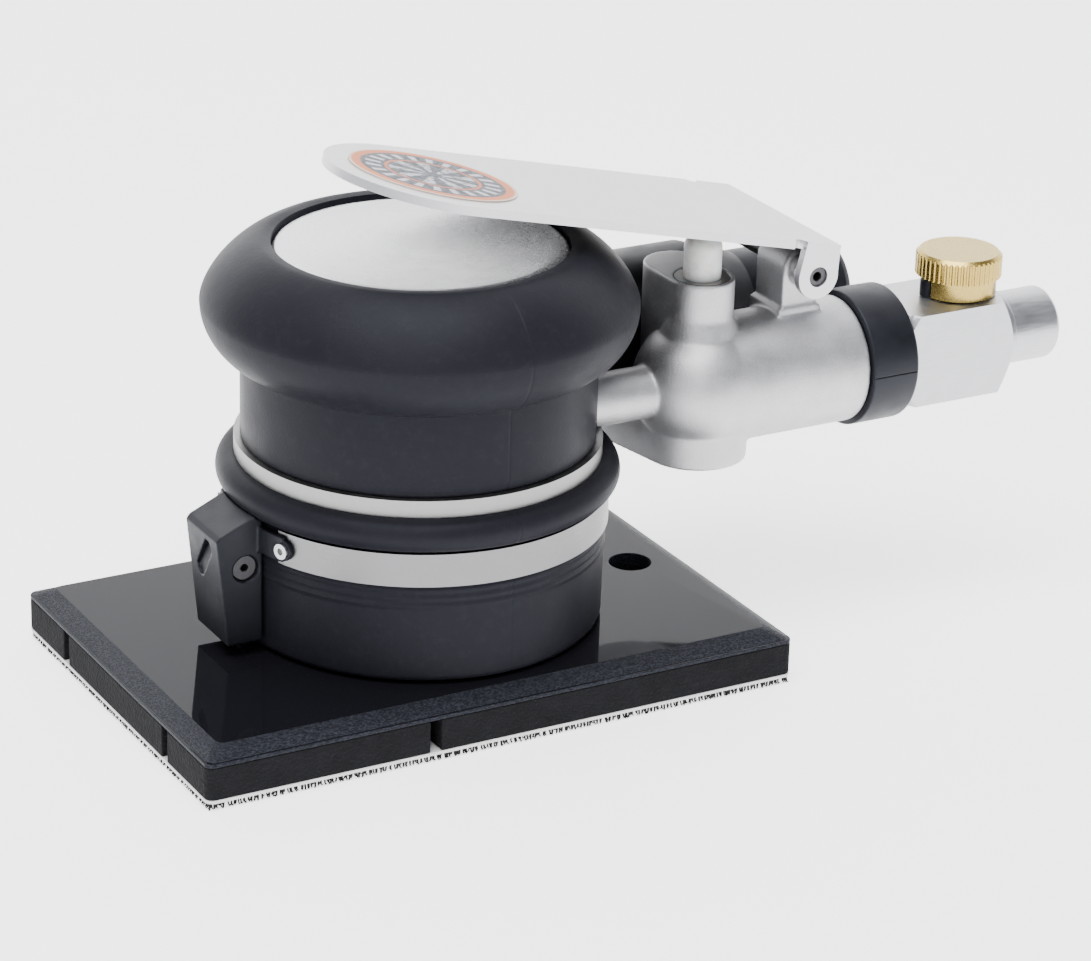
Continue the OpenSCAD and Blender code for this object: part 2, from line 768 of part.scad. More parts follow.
module silencer() {
    color("tan") xcyl(duct_tip_r - duct_wall - seat_gap, duct_end - 14, duct_end - 0.4, duct_y, duct_z);
}

module pivot_pin() {
    color("silver") difference() {
        ycyl(pivot_r, 0.4 - lever_half_w, lever_half_w - 0.4, pivot_x, pivot_z);
        ycyl(0.8, -lever_half_w - over, lever_half_w + over, pivot_x, pivot_z);
    }
}

// ---- lever, throttle pin and knob -----------------------------------------

module lever_ear(side) {
    y0 = side > 0 ? lever_half_w - lever_t : -lever_half_w;
    ycyl(ear_r, y0, y0 + lever_t, 0, 0);
    translate([0, y0 + lever_t, 0]) rotate([90, 0, 0]) linear_extrude(lever_t)
        polygon([[-ear_r, 0], [ear_r, 0], [lever_end, lever_lift + 0.5], [-ear_r, lever_lift + 0.5]]);
}

module lever() {
    relief_r = 1.2;              // where the fold of each ear starts
    color("silver") lever_frame() difference() {
        union() {
            translate([0, 0, lever_lift]) linear_extrude(lever_t) {
                translate([-lever_reach, 0]) circle(r = lever_half_w, $fn = 128);
                translate([-lever_reach, -lever_half_w]) square([lever_reach + lever_end, 2 * lever_half_w]);
            }
            for (s = [-1, 1]) lever_ear(s);
        }
        ycyl(pivot_r + run_gap, -25, 25, 0, 0);
        for (s = [-1, 1]) zcyl(relief_r, 0, 10, -ear_r - relief_r, s * lever_half_w);
    }
}

module badge() {
    badge_t = 0.2;
    color("orange") lever_frame() zcyl(badge_r, lever_lift + lever_t, lever_lift + lever_t + badge_t, -lever_reach);
}

module push_pin() {
    color("white") {
        zcyl(pin_r, pin_foot_z, pin_dome_z, valve_x, line_y);
        translate([valve_x, line_y, pin_dome_z]) sphere(r = pin_r);
    }
}

module valve_stem() {
    color("gold") {
        zcyl(1.4, poppet_z[1] - over, pin_foot_z - seat_gap, valve_x, line_y);
        zcyl(4.4, poppet_z[0], poppet_z[1], valve_x, line_y);
    }
}

module knob() {
    flute_r = 0.32;
    notch_deg = [stop_deg - stop_room - knob_turn, stop_deg + stop_room];
    color("gold") difference() {
        translate([knob_x, line_y, 0]) difference() {
            union() {
                zcyl(knob_r, knob_head_z[0], knob_head_z[1] - 0.7);
                translate([0, 0, knob_head_z[1] - 0.7]) cylinder(r1 = knob_r, r2 = knob_r - 0.7, h = 0.7);
                zcyl(knob_base_r, knob_base_z, knob_head_z[0]);
                zcyl(knob_spindle_r, line_z - 5.4, knob_head_z[0]);
            }
            sector(knob_r, stop_at - stop_r - 0.6, knob_base_z - over, knob_head_z[0], notch_deg[0], notch_deg[1]);
            for (i = [0 : knob_flutes - 1]) rotate([0, 0, 360 * i / knob_flutes])
                zcyl(flute_r, knob_head_z[0] - over, knob_head_z[1] + over, knob_r + 0.05, $fn = 16);
            torus(knob_spindle_r, 0.55, line_z + 6.2);
        }
        ycyl(2.6, line_y - 5, line_y + 5, knob_x, line_z);
    }
}

module knob_seal() {
    color("black") torus(knob_spindle_r - 0.12, 0.15, line_z + 6.2, knob_x, line_y);
}

motor_housing();
top_cap();
rubber_grip();
bumper_ring();
skirt();
clamp_band();
clamp_block();
band_rivets();
clamp_screw();
cylinder_liner();
liner_dowel();
lower_end_plate();
upper_end_plate();
lower_bearing();
upper_bearing();
lock_ring();
valve_body();
guide_bush();
pin_seal();
valve_seat();
valve_plug();
valve_spring();
pivot_pin();
inlet_collar();
regulator_block();
inlet_nipple();
inlet_strainer();
stop_screw();
exhaust_duct();
silencer();
eccentric_shaft();
rotor();
vanes();
rotor_key();
counterweight();
lower_inner_race();
upper_inner_race();
pad_inner_race();
pad_bearing();
pad_holder();
pad_screws();
pad_plate();
foam_pad();
hook_backing();
hook_pile();
lever();
badge();
push_pin();
valve_stem();
knob();
knob_seal();
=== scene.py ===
# %% [markdown]
# # A palm orbital sander
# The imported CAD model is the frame: every size and joint comes from it, and nothing in it is moved.
# This lesson gives each part its real surface: moulded rubber, cast and brushed aluminium, turned
# brass, a glossy black plate, foam, and a pad face covered in small hooks.

# %% Load the frame
import json
import math
import random
import bmesh
import bpy
import numpy as np
from mathutils import Matrix, Vector


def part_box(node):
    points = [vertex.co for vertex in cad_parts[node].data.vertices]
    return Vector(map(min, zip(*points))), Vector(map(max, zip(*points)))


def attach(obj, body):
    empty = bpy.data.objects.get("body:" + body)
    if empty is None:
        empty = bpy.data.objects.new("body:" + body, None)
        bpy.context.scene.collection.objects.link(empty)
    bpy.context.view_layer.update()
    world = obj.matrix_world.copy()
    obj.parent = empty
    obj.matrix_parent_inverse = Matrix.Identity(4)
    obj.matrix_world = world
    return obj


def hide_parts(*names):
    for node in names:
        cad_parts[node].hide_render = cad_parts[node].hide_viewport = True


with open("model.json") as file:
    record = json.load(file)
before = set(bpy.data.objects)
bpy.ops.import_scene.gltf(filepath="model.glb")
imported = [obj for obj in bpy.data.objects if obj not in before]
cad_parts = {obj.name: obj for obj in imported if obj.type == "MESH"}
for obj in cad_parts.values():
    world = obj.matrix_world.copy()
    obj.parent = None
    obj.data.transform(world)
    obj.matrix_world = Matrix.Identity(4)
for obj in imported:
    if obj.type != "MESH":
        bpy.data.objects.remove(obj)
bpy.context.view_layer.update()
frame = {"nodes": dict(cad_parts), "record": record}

MM = 0.001

# %% [markdown]
# ## Arithmetic on shader sockets
# A shader is easier to read as a formula than as a list of links. `Wire` wraps one output socket, so
# that `1 - mask` or `grain * 0.5` adds the Math node it stands for. `Finish` owns one material, and its
# method `node` makes every other kind of node: the settings are set first, then the sockets.

# %% A wire that does sums
class Wire:
    def __init__(self, finish, socket):
        self.finish = finish
        self.socket = socket

    def sum(self, operation, first, second):
        return self.finish.node("ShaderNodeMath", {"operation": operation}, {0: first, 1: second})

    def __add__(self, other):
        return self.sum("ADD", self, other)

    def __radd__(self, other):
        return self.sum("ADD", other, self)

    def __sub__(self, other):
        return self.sum("SUBTRACT", self, other)

    def __rsub__(self, other):
        return self.sum("SUBTRACT", other, self)

    def __mul__(self, other):
        return self.sum("MULTIPLY", self, other)

    def __rmul__(self, other):
        return self.sum("MULTIPLY", other, self)


# %% A material and its nodes
class Finish:
    made = {}

    def __init__(self, name, color, roughness, **fixed):
        self.material = bpy.data.materials.new(name)
        self.material.use_nodes = True
        self.tree = self.material.node_tree
        self.shader = self.tree.nodes["Principled BSDF"]
        self.material.diffuse_color = (*color, 1)
        self.set("Base Color", color)
        self.set("Roughness", roughness)
        for socket, value in fixed.items():
            self.set(socket.replace("_", " "), value)
        Finish.made[name] = self

    def node(self, kind, settings=None, inputs=None, out=0):
        made = self.tree.nodes.new(kind)
        for key, value in (settings or {}).items():
            setattr(made, key, value)
        for key, value in (inputs or {}).items():
            self.plug(made.inputs[key], value)
        return Wire(self, made.outputs[out])

    def plug(self, socket, value):
        if isinstance(value, Wire):
            self.tree.links.new(value.socket, socket)
        elif socket.type == "RGBA" and len(value) == 3:
            socket.default_value = (*value, 1)
        else:
            socket.default_value = value

    def set(self, name, value):
        self.plug(self.shader.inputs[name], value)

    def place(self, stretch=(1, 1, 1)):
        """Where a point lies on its piece, in millimetres, so that a pattern stays on a part that moves."""
        here = self.node("ShaderNodeTexCoord", out="Object")
        scale = [1 / MM * s for s in stretch]
        return self.node("ShaderNodeVectorMath", {"operation": "MULTIPLY"}, {0: here, 1: scale})

    def noise(self, size, detail=3, stretch=(1, 1, 1), rough=0.55):
        """Soft noise whose blobs are about `size` millimetres across."""
        return self.node("ShaderNodeTexNoise", {"noise_dimensions": "3D"}, {
            "Vector": self.place(stretch), "Scale": 1 / size, "Detail": detail, "Roughness": rough})

    def cells(self, size):
        """How far a point lies from the middle of its cell, in cells about `size` millimetres across."""
        return self.node("ShaderNodeTexVoronoi", {}, {"Vector": self.place(), "Scale": 1 / size}, "Distance")

    def span(self, value, low, high, to_low=0.0, to_high=1.0):
        """The stretch from low to high laid over another stretch, and flat beyond both ends."""
        return self.node("ShaderNodeMapRange", {"clamp": True}, {
            0: value, 1: low, 2: high, 3: to_low, 4: to_high})

    def blend(self, factor, first, second):
        return self.node("ShaderNodeMix", {"data_type": "RGBA"}, {0: factor, 6: first, 7: second}, out=2)

    def axes(self):
        """The three coordinates of a point, in millimetres."""
        here = self.place()
        return [self.node("ShaderNodeSeparateXYZ", {}, {0: here}, out=axis) for axis in range(3)]

    def upness(self):
        """1 where the surface faces up, 0 on a wall and -1 underneath."""
        facing = self.node("ShaderNodeNewGeometry", out="True Normal")
        return self.node("ShaderNodeSeparateXYZ", {}, {0: facing}, out=2)

    def bump(self, height, deep):
        """Relief of a given depth in millimetres where height runs from 0 to 1."""
        self.set("Normal", self.node("ShaderNodeBump", {}, {
            "Height": height, "Distance": deep * MM, "Strength": 1.0}))


print("shader tools ready")

# %% [markdown]
# ## Camera
# A long lens from the front left, looking down at about 22 degrees. The camera stands 68 cm from the
# middle of the pad's face and leans by a degree and a half.

# %% Set up the camera
AZIMUTH = math.radians(-29.73)
ELEVATION = math.radians(22.51)
LEAN = math.radians(1.63)
EYE = Vector((-0.28638, -0.54537, 0.28896))
LENS = 129.1
SENSOR = 36
back = Vector((math.sin(AZIMUTH) * math.cos(ELEVATION), -math.cos(AZIMUTH) * math.cos(ELEVATION),
               math.sin(ELEVATION)))
level = (-back).cross(Vector((0, 0, 1))).normalized()
upward = level.cross(-back)
side = level * math.cos(LEAN) + upward * math.sin(LEAN)
top = upward * math.cos(LEAN) - level * math.sin(LEAN)
camera = bpy.data.objects.new("camera", bpy.data.cameras.new("camera"))
camera.matrix_world = Matrix.Translation(EYE) @ Matrix((side, top, back)).transposed().to_4x4()
camera.data.lens = LENS
camera.data.sensor_width = SENSOR
camera.data.clip_start = 0.05
bpy.context.scene.collection.objects.link(camera)
bpy.context.scene.camera = camera
print("camera at", [round(c, 3) for c in EYE])

# %% [markdown]
# ## Rubber
# The grip, the bumper ring and the skirt are moulded rubber. Such rubber is never evenly black: the
# mould leaves a fine grain, hands polish it in patches, and dust settles in it.

# %% Moulded rubber
COOL = (0.84, 0.87, 1.0, 1.0)


def rubber(name, color, rough, grain):
    finish = Finish(name, color, rough, Specular_IOR_Level=0.09, Specular_Tint=COOL)
    patches = finish.noise(14, 4)
    dust = finish.span(finish.noise(2.2, 6, rough=0.7), 0.52, 0.75)
    paler = [c * 1.7 + 0.005 for c in color]
    handled = finish.blend(patches, color, [c * 1.3 for c in color])
    finish.set("Base Color", finish.blend(dust * 0.3, handled, paler))
    finish.set("Roughness", finish.span(patches, 0.3, 0.7, rough - 0.07, rough + 0.07))
    finish.bump(finish.noise(0.34, 3) * 0.6 + finish.noise(0.9, 2) * 0.4, grain)


rubber("rubber", (0.0105, 0.0105, 0.014), 0.46, 0.05)
rubber("seal_rubber", (0.006, 0.006, 0.007), 0.35, 0.01)

# %% Black moulded plastic and foam
plastic = Finish("black_plastic", (0.009, 0.010, 0.013), 0.40, Specular_IOR_Level=0.28, Specular_Tint=COOL)
sheen = plastic.noise(5, 3)
plastic.set("Base Color", plastic.blend(sheen, (0.004, 0.0045, 0.006), (0.009, 0.0095, 0.013)))
plastic.set("Roughness", plastic.span(sheen, 0.3, 0.7, 0.36, 0.50))
plastic.bump(plastic.noise(0.25, 3), 0.03)

foam = Finish("foam", (0.006, 0.006, 0.007), 0.85, Specular_IOR_Level=0.12)
cell = foam.cells(0.55)
foam.set("Base Color", foam.blend(foam.noise(3, 4), (0.004, 0.004, 0.005), (0.011, 0.011, 0.013)))
foam.bump(cell + foam.noise(1.6, 4) * 0.8, 0.16)
print("rubber, plastic and foam ready")

# %% [markdown]
# ## Metals
# Five aluminium finishes sit side by side on this tool, and the eye tells them apart by their grain.
# The casting and the cap are bead blasted, which leaves fine pits. The lever is rolled sheet with a grain
# along its length. The square block is drawn bar with bright streaks. The flange is turned.

# %% A metal with grain
def metal(name, color, rough, grain_size, stretch, depth, shade=0.12, coarse=6, spread=0.07):
    finish = Finish(name, color, rough, Metallic=1.0)
    fine = finish.noise(grain_size, 3, stretch)
    wide = finish.noise(coarse, 4)
    darker = [c * (1 - shade) for c in color]
    lighter = [min(1, c * (1 + shade * 0.6)) for c in color]
    tone = finish.span(fine * 0.5 + wide * 0.5, 0.35, 0.65)
    finish.set("Base Color", finish.blend(tone, darker, lighter))
    finish.set("Roughness", finish.span(fine * 0.6 + wide * 0.4, 0.35, 0.65, rough - spread, rough + spread))
    finish.bump(fine, depth)
    return finish


metal("cast_aluminium", (0.54, 0.54, 0.555), 0.50, 0.30, (1, 1, 1), 0.055, 0.16, 5)
cap_face = metal("cap_metal", (0.70, 0.705, 0.73), 0.27, 0.22, (1, 1, 1), 0.03, 0.05, 9)
sheet = metal("lever_aluminium", (0.60, 0.60, 0.625), 0.36, 0.25, (0.10, 1, 1), 0.012, 0.08, 11)
metal("bright_aluminium", (0.52, 0.525, 0.545), 0.36, 0.45, (0.12, 1, 0.9), 0.03, 0.10, 4)
metal("housing_metal", (0.30, 0.30, 0.295), 0.38, 0.3, (0.4, 0.4, 3), 0.012, 0.12, 6)
metal("band_steel", (0.20, 0.20, 0.205), 0.33, 0.3, (0.3, 0.3, 3), 0.008, 0.07, 8)
metal("steel", (0.52, 0.52, 0.53), 0.32, 0.3, (1, 1, 1), 0.008)
metal("bearing_steel", (0.60, 0.61, 0.63), 0.14, 0.3, (1, 1, 1), 0.002)
metal("iron", (0.09, 0.09, 0.095), 0.48, 0.4, (1, 1, 1), 0.03)
metal("sintered", (0.38, 0.30, 0.19), 0.70, 0.5, (1, 1, 1), 0.12, 0.3)
metal("brass", (0.50, 0.36, 0.105), 0.27, 0.3, (1, 1, 1), 0.012, 0.16, 3)
print("metals ready:", len(Finish.made), "finishes so far")

# %% [markdown]
# The cap's own mesh is a very shallow dome. A broad bump bends what its face mirrors, as a dish would,
# with the blasted pits on top. It changes the shading and not the shape.

# %% Bend the cap's reflections
DISH = 3.3
DISH_REACH = 600                 # square millimetres
x, y = cap_face.axes()[:2]
pits = cap_face.noise(0.22, 3) * 0.012
cap_face.bump((x * x + y * y) * (1 / DISH_REACH) + pits, DISH)
print("the cap's reflections bend as over a dish", DISH, "mm deep")

# %% [markdown]
# The lever's sheet is bare on top. Its underside is painted dark and not metallic: painted shade on the side
# that faces down. It is a finish only and adds no thickness.

# %% Paint shade on the lever's underside
# Painted shade: faces that look down get a dark, non-metallic colour in place of the bare sheet.
painted_underside_shade = sheet.span(sheet.upness(), -0.8, -0.6, 1, 0)
bare = sheet.shader.inputs["Base Color"].links[0].from_socket
sheet.set("Base Color", sheet.blend(painted_underside_shade, Wire(sheet, bare), (0.012, 0.012, 0.014)))
sheet.set("Metallic", 1 - painted_underside_shade)
# The felt named in this print is the painted shade above.
print("a dark felt lines the lever underneath")

# %% [markdown]
# ## White nylon and laminate
# The throttle pin is turned nylon: pale, a little see-through and slightly grubby where it slides.
# The vanes are a brown laminate, which only shows if the motor is opened.

# %% Nylon and laminate
nylon = Finish("nylon", (0.80, 0.80, 0.775), 0.38, Subsurface_Weight=0.25, Subsurface_Scale=0.002)
grubby = nylon.span(nylon.noise(1.6, 5), 0.45, 0.7)
nylon.set("Base Color", nylon.blend(grubby, (0.82, 0.82, 0.80), (0.70, 0.69, 0.65)))
nylon.bump(nylon.noise(0.3, 2, (0.3, 0.3, 3)), 0.01)

laminate = Finish("vane_composite", (0.16, 0.08, 0.04), 0.5)
layers = laminate.noise(0.25, 3, (1, 1, 0.1))
laminate.set("Base Color", laminate.blend(layers, (0.12, 0.06, 0.03), (0.24, 0.13, 0.06)))
laminate.bump(layers, 0.01)
print("nylon and laminate ready")

# %% [markdown]
# ## The plate and the pad's layers
# The plate's top is a deep gloss black that mirrors the tool. Its bevel is not: there the fibres of the
# sheet show, pale and torn, so one material has two sides and a mask tells them apart by how
# far the surface leans.

# %% Gloss plate with a fibrous bevel
plate = Finish("plate_black", (0.006, 0.006, 0.008), 0.05, Specular_IOR_Level=0.08, Specular_Tint=COOL)
flat = plate.span(plate.upness(), 0.95, 0.99)
fibre = plate.noise(0.32, 4, (0.6, 0.6, 2.2), 0.7)
torn = plate.span(fibre, 0.42, 0.70)
bevel_color = plate.blend(torn, (0.007, 0.008, 0.010), (0.042, 0.044, 0.058))
plate.set("Base Color", plate.blend(flat, bevel_color, (0.006, 0.006, 0.008)))
plate.set("Roughness", plate.span(flat, 0, 1, 0.42, 0.045))
plate.bump(fibre * (1 - flat), 0.14)
print("the plate is glossy on top and fibrous along its bevel")

# %% Backing, hooks
backing = Finish("backing_white", (0.80, 0.80, 0.78), 0.8)
threads = backing.noise(0.5, 3)
backing.set("Base Color", backing.blend(threads, (0.62, 0.62, 0.61), (0.86, 0.86, 0.84)))
backing.bump(threads, 0.08)
hook_fibre = Finish("hook_fibre", (0.010, 0.010, 0.012), 0.5, Specular_IOR_Level=0.2)
faded = hook_fibre.noise(1.2, 3)
hook_fibre.set("Base Color", hook_fibre.blend(faded, (0.004, 0.004, 0.005), (0.018, 0.018, 0.020)))
hook_fibre.bump(hook_fibre.noise(0.2, 2), 0.02)
print("plate, backing and hooks ready")

# %% [markdown]
# ## A plain badge
# The round badge on the lever has an orange ring round a dark field. Its pattern here is a plain
# rosette of blades worked out from the angle and the distance to the centre, and it says nothing.

# %% Badge print
low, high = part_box("badge")
badge_centre = (low + high) / 2 / MM
badge_r = (high.y - low.y) / 2 / MM
badge = Finish("badge_print", (0.5, 0.2, 0.1), 0.50, Specular_IOR_Level=0.25)
x, y = badge.axes()[:2]
TILT = math.atan2(high.z - low.z, high.x - low.x)
across = (x - badge_centre.x) * (1 / math.cos(TILT))
along = y - badge_centre.y
reach = badge.node("ShaderNodeMath", {"operation": "SQRT"}, {0: across * across + along * along})
radius = reach * (1 / badge_r)
angle = badge.node("ShaderNodeMath", {"operation": "ARCTAN2"}, {0: along, 1: across})


def band(low_edge, high_edge, soft=0.012):
    """1 between two radii of the badge, and 0 outside them."""
    inside = badge.span(radius, low_edge - soft, low_edge + soft)
    return inside * badge.span(radius, high_edge - soft, high_edge + soft, 1, 0)


def blades(count, turn, low_cut, high_cut):
    """Wedges round the badge's centre, 1 on each and 0 between them."""
    wave = badge.node("ShaderNodeMath", {"operation": "COSINE"}, {0: angle * count + turn})
    return badge.span(wave, low_cut, high_cut)


DARK, PALE, ORANGE = (0.022, 0.026, 0.036), (0.50, 0.50, 0.53), (0.60, 0.16, 0.05)
mottle = badge.noise(0.9, 5, rough=0.7)
field = badge.blend(badge.span(mottle, 0.42, 0.62), DARK, (0.13, 0.14, 0.17))
field = badge.blend(band(0.62, 0.80) * blades(22, 0, 0.1, 0.5), field, PALE)
field = badge.blend(band(0.12, 0.52) * blades(9, 0.6, 0.0, 0.4) * badge.span(mottle, 0.35, 0.55), field, PALE)
field = badge.blend(band(0.54, 0.575), field, ORANGE)
field = badge.blend(band(0.86, 1.2), field, ORANGE)
badge.set("Base Color", badge.blend(band(0.965, 1.2), field, (0.62, 0.50, 0.42)))
badge.bump(mottle, 0.01)
print("badge radius", round(badge_r, 1), "mm")

# %% [markdown]
# ## Dress the CAD nodes
# Every node has its material slot in the record, so one loop dresses them all. Pieces made below
# take their finish from the same slots.

# %% Give every node its finish
slot_of = {part["node"]: part["material_slot"] for part in frame["record"]["subparts"]}
body_of = {node: body for body, nodes in frame["record"]["behaviour"]["bodies"].items() for node in nodes}
for name, node in frame["nodes"].items():
    node.data.materials.clear()
    node.data.materials.append(Finish.made[slot_of[name]].material)
print(len(slot_of), "nodes dressed in", len(set(slot_of.values())), "finishes")


# %% Hand a new piece over
def adopt(piece, node):
    """The piece takes the node's finish, place in the motion and place in the picture."""
    piece.data.materials.clear()
    piece.data.materials.append(Finish.made[slot_of[node]].material)
    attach(piece, body_of[node])
    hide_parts(node)
    print(f"{piece.name}: {len(piece.data.polygons)} faces")
    return piece


def new_object(name, work):
    """An object from a bmesh, smooth shaded, linked to the scene."""
    bmesh.ops.recalc_face_normals(work, faces=work.faces)
    mesh = bpy.data.meshes.new(name)
    work.to_mesh(mesh)
    work.free()
    mesh.shade_smooth()
    made = bpy.data.objects.new(name, mesh)
    bpy.context.scene.collection.objects.link(made)
    return made


def applied(piece):
    """Turns the piece's modifiers into its mesh."""
    graph = bpy.context.evaluated_depsgraph_get()
    mesh = bpy.data.meshes.new_from_object(piece.evaluated_get(graph))
    piece.modifiers.clear()
    piece.data = mesh
    return piece


# %% [markdown]
# ## Broken edges
# No real edge is razor sharp: it is broken, cast or moulded with a small radius, and that radius is
# what catches the light. Machined parts are copied from the frame and given a narrow bevel.

# %% Copy a node and break its edges
def copy_of(node, name):
    work = bmesh.new()
    work.from_mesh(frame["nodes"][node].data)
    bmesh.ops.remove_doubles(work, verts=work.verts, dist=2e-6)
    bmesh.ops.dissolve_limit(work, angle_limit=math.radians(0.6), verts=work.verts, edges=work.edges)
    return new_object(name, work)


def broken_edges(node, width, corner):
    """Bevels every edge that turns by more than corner degrees."""
    piece = copy_of(node, node + "_broken")
    bevel = piece.modifiers.new("bevel", "BEVEL")
    bevel.width = width * MM
    bevel.segments = 2
    bevel.limit_method = "ANGLE"
    bevel.angle_limit = math.radians(corner)
    faces_first = piece.modifiers.new("flat faces stay flat", "WEIGHTED_NORMAL")
    faces_first.weight = 100
    applied(piece)
    return adopt(piece, node)


CORNER = 34
SHALLOW_CORNER = 15              # the duct's taper meets its tubes at a small angle
for node, width in {"motor_housing": 0.3, "clamp_band": 0.12, "regulator_block": 0.35, "inlet_nipple": 0.3,
                    "lever": 0.35, "exhaust_duct": 0.3, "pad_plate": 0.15, "foam_pad": 0.25,
                    "hook_backing": 0.1, "pivot_pin": 0.15, "stop_screw": 0.25}.items():
    broken_edges(node, width, SHALLOW_CORNER if node == "exhaust_duct" else CORNER)


# %% [markdown]
# ## Castings
# The valve body is one casting: its bosses, neck and lug flow into each other in fillets that a
# drawing of cylinders lacks. Remeshing the copy into small voxels and relaxing them rounds every
# inside and outside corner together, as a foundry pattern does. The band's tensioner is moulded and gets
# the same, in smaller voxels.

# %% Melt a copy into a casting
def cast(node, voxel, relax):
    piece = copy_of(node, node + "_cast")
    remesh = piece.modifiers.new("remesh", "REMESH")
    remesh.mode = "VOXEL"
    remesh.voxel_size = voxel * MM
    smooth = piece.modifiers.new("relax", "SMOOTH")
    smooth.factor = 0.5
    smooth.iterations = relax
    applied(piece)
    piece.data.shade_smooth()
    return adopt(piece, node)


cast("valve_body", 0.30, 9)
cast("clamp_block", 0.16, 6)


# %% [markdown]
# ## Turned and moulded rings
# The grip, bumper, skirt, cap, collar and pin are all bodies of revolution. Each is an outline of a
# few points with rounded corners, spun round its axis. The spin can be finer at some angles, where a
# mould seam runs down the rubber.

# %% Outlines and the lathe
def arc(centre, radius, first, last, steps):
    """Points along an arc, angles in degrees."""
    turns = [math.radians(first + (last - first) * i / steps) for i in range(steps + 1)]
    return [(centre[0] + radius * math.cos(t), centre[1] + radius * math.sin(t)) for t in turns]


def rounded(points, radii, steps=5):
    """A closed outline with each corner replaced by an arc-like curve of its radius."""
    outline = []
    for i, corner in enumerate(points):
        here, before, after = (Vector(p) for p in (corner, points[i - 1], points[(i + 1) % len(points)]))
        reach = min(radii[i], (before - here).length * 0.45, (after - here).length * 0.45)
        if reach <= 0:
            outline.append(tuple(here))
            continue
        start = here + (before - here).normalized() * reach
        end = here + (after - here).normalized() * reach
        for k in range(steps + 1):
            t = k / steps
            outline.append(tuple(start * (1 - t) ** 2 + here * 2 * t * (1 - t) + end * t ** 2))
    return outline


def angles(steps, seams=()):
    """Even angles, with a few more close to each seam."""
    found = {round(i * 360 / steps, 3) for i in range(steps)}
    for seam in seams:
        found = {a for a in found if abs((a - seam + 180) % 360 - 180) > 1.3}
        found |= {round((seam + d) % 360, 3) for d in (-1.2, -0.6, -0.35, -0.15, 0, 0.15, 0.35, 0.6, 1.2)}
    return sorted(found)


def lathe(name, outline, steps=180, seams=(), seam_depth=0.0, relief=None):
    """Spins a closed outline of (radius, height), in millimetres, round Z."""
    work = bmesh.new()
    rings = []
    for turn in angles(steps, seams):
        near = min([abs((turn - s + 180) % 360 - 180) for s in seams], default=9)
        dent = seam_depth * math.exp(-(near / 0.3) ** 2)
        ring = []
        for r, h in outline:
            r = r - dent + (relief(turn, r, h) if relief else 0)
            a = math.radians(turn)
            ring.append(work.verts.new((r * math.cos(a) * MM, r * math.sin(a) * MM, h * MM)))
        rings.append(ring)
    count = len(outline)
    for i, ring in enumerate(rings):
        following = rings[(i + 1) % len(rings)]
        for k in range(count):
            work.faces.new((ring[k], following[k], following[(k + 1) % count], ring[(k + 1) % count]))
    bmesh.ops.remove_doubles(work, verts=work.verts, dist=1e-7)
    return new_object(name, work)


# %% [markdown]
# ## Grip
# A straight sleeve below a fat rounded rim. Two halves of the mould meet at the front and the back and
# leave a thin line.

# %% Spin the grip
low, high = (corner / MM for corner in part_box("rubber_grip"))
cap_low, cap_high = (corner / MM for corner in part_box("top_cap"))
RIM = 10.3
RIM_STEPS = 52
SHOULDER = 4 / 3
SLEEVE_R = 30.2
SLEEVE_TOP = 50
WALL_R = 27.25
mouth_r = cap_high.x + 0.12
rim_centre = (high.x - RIM, high.z - RIM)
crease = -math.degrees(math.acos((SLEEVE_R - rim_centre[0]) / RIM))
lip = math.degrees(math.acos((mouth_r - rim_centre[0]) / RIM))
sleeve = rounded([(WALL_R, low.z), (SLEEVE_R, low.z), (SLEEVE_R, SLEEVE_TOP), (WALL_R, SLEEVE_TOP)],
                 [0, 0.5, 0, 0])[:-2]


def flattened(turn):
    """A point of the rim: round below and inside, flatter over the outer shoulder."""
    c, s = math.cos(math.radians(turn)), math.sin(math.radians(turn))
    if c > 0 and s > 0:
        c, s = c ** SHOULDER, s ** SHOULDER
    return rim_centre[0] + RIM * c, rim_centre[1] + RIM * s


rim = [flattened(crease + (lip - crease) * i / RIM_STEPS) for i in range(RIM_STEPS + 1)]
grip_outline = sleeve + rim + [(mouth_r, cap_low.z + 1), (WALL_R, cap_low.z + 1)]
SEAMS = (-88 % 360, 92)
grip = lathe("grip_moulding", grip_outline, 200, SEAMS, 0.10)


# %% Cut the ways for the neck and the duct
def cutter(name, radius, start, end, y, z):
    """A round bar along X, in millimetres."""
    work = bmesh.new()
    turn = Matrix.Translation(Vector(((start + end) / 2, y, z)) * MM) @ Matrix.Rotation(math.pi / 2, 4, "Y")
    bmesh.ops.create_cone(work, cap_ends=True, segments=96, radius1=radius * MM, radius2=radius * MM,
                          depth=(end - start) * MM, matrix=turn)
    return new_object(name, work)


def cut(piece, tool):
    hole = piece.modifiers.new("cut", "BOOLEAN")
    hole.operation = "DIFFERENCE"
    hole.solver = "EXACT"
    hole.object = tool
    applied(piece)
    bpy.data.objects.remove(tool)


duct_low, duct_high = (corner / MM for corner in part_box("exhaust_duct"))
duct_mid = (duct_low + duct_high) / 2
nipple_low, nipple_high = (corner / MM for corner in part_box("inlet_nipple"))
line = (nipple_low + nipple_high) / 2
NECK_R = 4.6
WAY = (5, 60)                    # from inside the grip to well past it
cut(grip, cutter("duct_way", duct_mid.z - duct_low.z + 0.1, *WAY, duct_mid.y, duct_mid.z))
cut(grip, cutter("neck_way", NECK_R + 0.12, *WAY, line.y, line.z))
grip.data.set_sharp_from_angle(angle=math.radians(50))
adopt(grip, "rubber_grip")

# %% [markdown]
# ## Bumper ring and skirt
# The bumper is a fat rubber ring that keeps the metal off the workpiece. The skirt below it is soft
# and never perfectly round: the band nips it in, and faint ribs run round it under the band.

